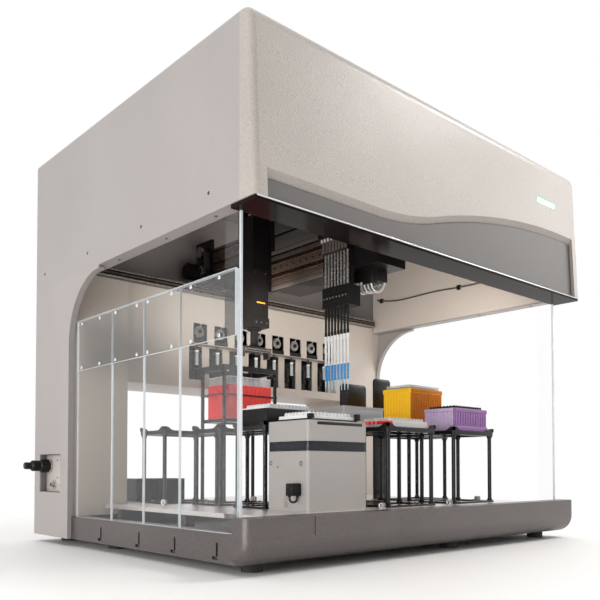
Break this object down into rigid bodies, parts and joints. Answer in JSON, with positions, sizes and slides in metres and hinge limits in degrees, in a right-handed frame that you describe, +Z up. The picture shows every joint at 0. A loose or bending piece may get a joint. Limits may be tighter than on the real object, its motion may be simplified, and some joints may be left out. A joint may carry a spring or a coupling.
{
  "type": "automated liquid handler",
  "caption": "Benchtop liquid handling robot: hooded deck with a travelling bridge, a row of pipetting probes, a plate gripper, syringe pumps and labware frames.",
  "frame": {"origin": "on the table under the middle of the case", "axes": "+X to the right seen from the front, -Y out of the front, +Z up"},
  "size_m": [1.006, 0.795, 0.847],
  "materials": {
    "light_paint": "fine textured light grey-beige paint",
    "dark_paint": "fine textured dark grey paint",
    "panel_paint": "satin dark grey paint",
    "black_metal": "satin black",
    "black_plastic": "matt black",
    "clear_plastic": "clear polished acrylic",
    "tinted_plastic": "polished black",
    "deck_metal": "anodised",
    "rail_metal": "ground",
    "grey_metal": "bead blasted",
    "rubber": "matt",
    "glass": "clear",
    "lens": "white lens with a green rim",
    "white_plastic": "satin white",
    "red_plastic": "translucent red",
    "yellow_plastic": "translucent yellow",
    "purple_plastic": "purple",
    "screw_metal": "plain"
  },
  "bodies": {
    "root": {"hood_case": "light_paint", "hood_front": "light_paint", "front_lower_panel": "panel_paint", "status_lens": "lens", "visor": "tinted_plastic", "columns": "light_paint", "connector_panel": "black_plastic", "inner_panels": "light_paint", "rear_covers": "light_paint", "rear_wall": "light_paint", "pump_bodies": "black_metal", "syringe_barrels": "glass", "base_tray": "dark_paint", "deck_plate": "deck_metal", "bumper": "dark_paint", "feet": "rubber", "side_panels": "clear_plastic", "x_rails": "rail_metal", "positioners": "black_metal", "reservoir": "red_plastic", "white_plates": "white_plastic", "tip_box_low": "purple_plastic", "tip_box_tall": "yellow_plastic", "shaker_base": "light_paint", "shaker_cap": "light_paint", "shaker_lead": "black_plastic", "controller_boxes": "black_plastic", "clipped_cable": "black_plastic", "fasteners": "screw_metal"},
    "bridge": {"bridge_beam": "grey_metal", "bridge_drive": "black_metal"},
    "pod": {"pod_housing": "black_metal", "pod_tubing": "clear_plastic"},
    "gripper_lift": {"gripper_mast": "black_metal"},
    "gripper_turn": {"gripper_wrist": "grey_metal"},
    "finger_left": {"finger_a": "grey_metal"},
    "finger_right": {"finger_b": "grey_metal"},
    "slider_1": {"probe_slider_1": "black_plastic"},
    "slider_2": {"probe_slider_2": "black_plastic"},
    "slider_3": {"probe_slider_3": "black_plastic"},
    "slider_4": {"probe_slider_4": "black_plastic"},
    "slider_5": {"probe_slider_5": "black_plastic"},
    "slider_6": {"probe_slider_6": "black_plastic"},
    "slider_7": {"probe_slider_7": "black_plastic"},
    "probe_1": {"probe_rod_1": "black_plastic"},
    "probe_2": {"probe_rod_2": "black_plastic"},
    "probe_3": {"probe_rod_3": "black_plastic"},
    "probe_4": {"probe_rod_4": "black_plastic"},
    "probe_5": {"probe_rod_5": "black_plastic"},
    "probe_6": {"probe_rod_6": "black_plastic"},
    "probe_7": {"probe_rod_7": "black_plastic"},
    "probe_8": {"probe_rod_8": "black_plastic"},
    "syringe_1": {"plunger_1": "rail_metal"},
    "syringe_2": {"plunger_2": "rail_metal"},
    "syringe_3": {"plunger_3": "rail_metal"},
    "syringe_4": {"plunger_4": "rail_metal"},
    "syringe_5": {"plunger_5": "rail_metal"},
    "syringe_6": {"plunger_6": "rail_metal"},
    "syringe_7": {"plunger_7": "rail_metal"},
    "syringe_8": {"plunger_8": "rail_metal"}
  },
  "joints": [
    {"name": "bridge_x", "type": "slide", "parent": "root", "child": "bridge", "axis": [1, 0, 0], "range_m": [-0.29, 0.42]},
    {"name": "pod_y", "type": "slide", "parent": "bridge", "child": "pod", "axis": [0, 1, 0], "range_m": [-0.06, 0.08]},
    {"name": "gripper_z", "type": "slide", "parent": "pod", "child": "gripper_lift", "axis": [0, 0, 1], "range_m": [-0.15, 0.06]},
    {"name": "gripper_rot", "type": "hinge", "parent": "gripper_lift", "child": "gripper_turn", "pos_m": [-0.1075, 0.0795, 0.45], "axis": [0, 0, 1], "range_deg": [-170, 170]},
    {"name": "finger_close", "type": "slide", "parent": "gripper_turn", "child": "finger_left", "axis": [1, 0, 0], "range_m": [0, 0.02]},
    {"name": "finger_b_close", "type": "slide", "parent": "gripper_turn", "child": "finger_right", "axis": [1, 0, 0], "range_m": [-0.02, 0]},
    {"name": "probe_spread", "type": "slide", "parent": "pod", "child": "slider_1", "axis": [0, -1, 0], "range_m": [0, 0.063]},
    {"name": "probe_spread_2", "type": "slide", "parent": "pod", "child": "slider_2", "axis": [0, -1, 0], "range_m": [0, 0.054]},
    {"name": "probe_spread_3", "type": "slide", "parent": "pod", "child": "slider_3", "axis": [0, -1, 0], "range_m": [0, 0.045]},
    {"name": "probe_spread_4", "type": "slide", "parent": "pod", "child": "slider_4", "axis": [0, -1, 0], "range_m": [0, 0.036]},
    {"name": "probe_spread_5", "type": "slide", "parent": "pod", "child": "slider_5", "axis": [0, -1, 0], "range_m": [0, 0.027]},
    {"name": "probe_spread_6", "type": "slide", "parent": "pod", "child": "slider_6", "axis": [0, -1, 0], "range_m": [0, 0.018]},
    {"name": "probe_spread_7", "type": "slide", "parent": "pod", "child": "slider_7", "axis": [0, -1, 0], "range_m": [0, 0.009]},
    {"name": "probe_1_z", "type": "slide", "parent": "slider_1", "child": "probe_1", "axis": [0, 0, 1], "range_m": [-0.2, 0]},
    {"name": "probe_2_z", "type": "slide", "parent": "slider_2", "child": "probe_2", "axis": [0, 0, 1], "range_m": [-0.2, 0]},
    {"name": "probe_3_z", "type": "slide", "parent": "slider_3", "child": "probe_3", "axis": [0, 0, 1], "range_m": [-0.2, 0]},
    {"name": "probe_4_z", "type": "slide", "parent": "slider_4", "child": "probe_4", "axis": [0, 0, 1], "range_m": [-0.2, 0]},
    {"name": "probe_5_z", "type": "slide", "parent": "slider_5", "child": "probe_5", "axis": [0, 0, 1], "range_m": [-0.2, 0]},
    {"name": "probe_6_z", "type": "slide", "parent": "slider_6", "child": "probe_6", "axis": [0, 0, 1], "range_m": [-0.2, 0]},
    {"name": "probe_7_z", "type": "slide", "parent": "slider_7", "child": "probe_7", "axis": [0, 0, 1], "range_m": [-0.2, 0]},
    {"name": "probe_8_z", "type": "slide", "parent": "pod", "child": "probe_8", "axis": [0, 0, 1], "range_m": [-0.2, 0]},
    {"name": "plunger_1_z", "type": "slide", "parent": "root", "child": "syringe_1", "axis": [0, 0, 1], "range_m": [-0.026, 0]},
    {"name": "plunger_2_z", "type": "slide", "parent": "root", "child": "syringe_2", "axis": [0, 0, 1], "range_m": [-0.026, 0]},
    {"name": "plunger_3_z", "type": "slide", "parent": "root", "child": "syringe_3", "axis": [0, 0, 1], "range_m": [-0.026, 0]},
    {"name": "plunger_4_z", "type": "slide", "parent": "root", "child": "syringe_4", "axis": [0, 0, 1], "range_m": [-0.026, 0]},
    {"name": "plunger_5_z", "type": "slide", "parent": "root", "child": "syringe_5", "axis": [0, 0, 1], "range_m": [-0.026, 0]},
    {"name": "plunger_6_z", "type": "slide", "parent": "root", "child": "syringe_6", "axis": [0, 0, 1], "range_m": [-0.026, 0]},
    {"name": "plunger_7_z", "type": "slide", "parent": "root", "child": "syringe_7", "axis": [0, 0, 1], "range_m": [-0.026, 0]},
    {"name": "plunger_8_z", "type": "slide", "parent": "root", "child": "syringe_8", "axis": [0, 0, 1], "range_m": [-0.026, 0]}
  ],
  "couplings": [
    {"joint": "finger_b_close", "follows": "finger_close", "ratio": -1},
    {"joint": "probe_spread_2", "follows": "probe_spread", "ratio": 0.85714},
    {"joint": "probe_spread_3", "follows": "probe_spread", "ratio": 0.71428},
    {"joint": "probe_spread_4", "follows": "probe_spread", "ratio": 0.57143},
    {"joint": "probe_spread_5", "follows": "probe_spread", "ratio": 0.42857},
    {"joint": "probe_spread_6", "follows": "probe_spread", "ratio": 0.28571},
    {"joint": "probe_spread_7", "follows": "probe_spread", "ratio": 0.14286}
  ]
}
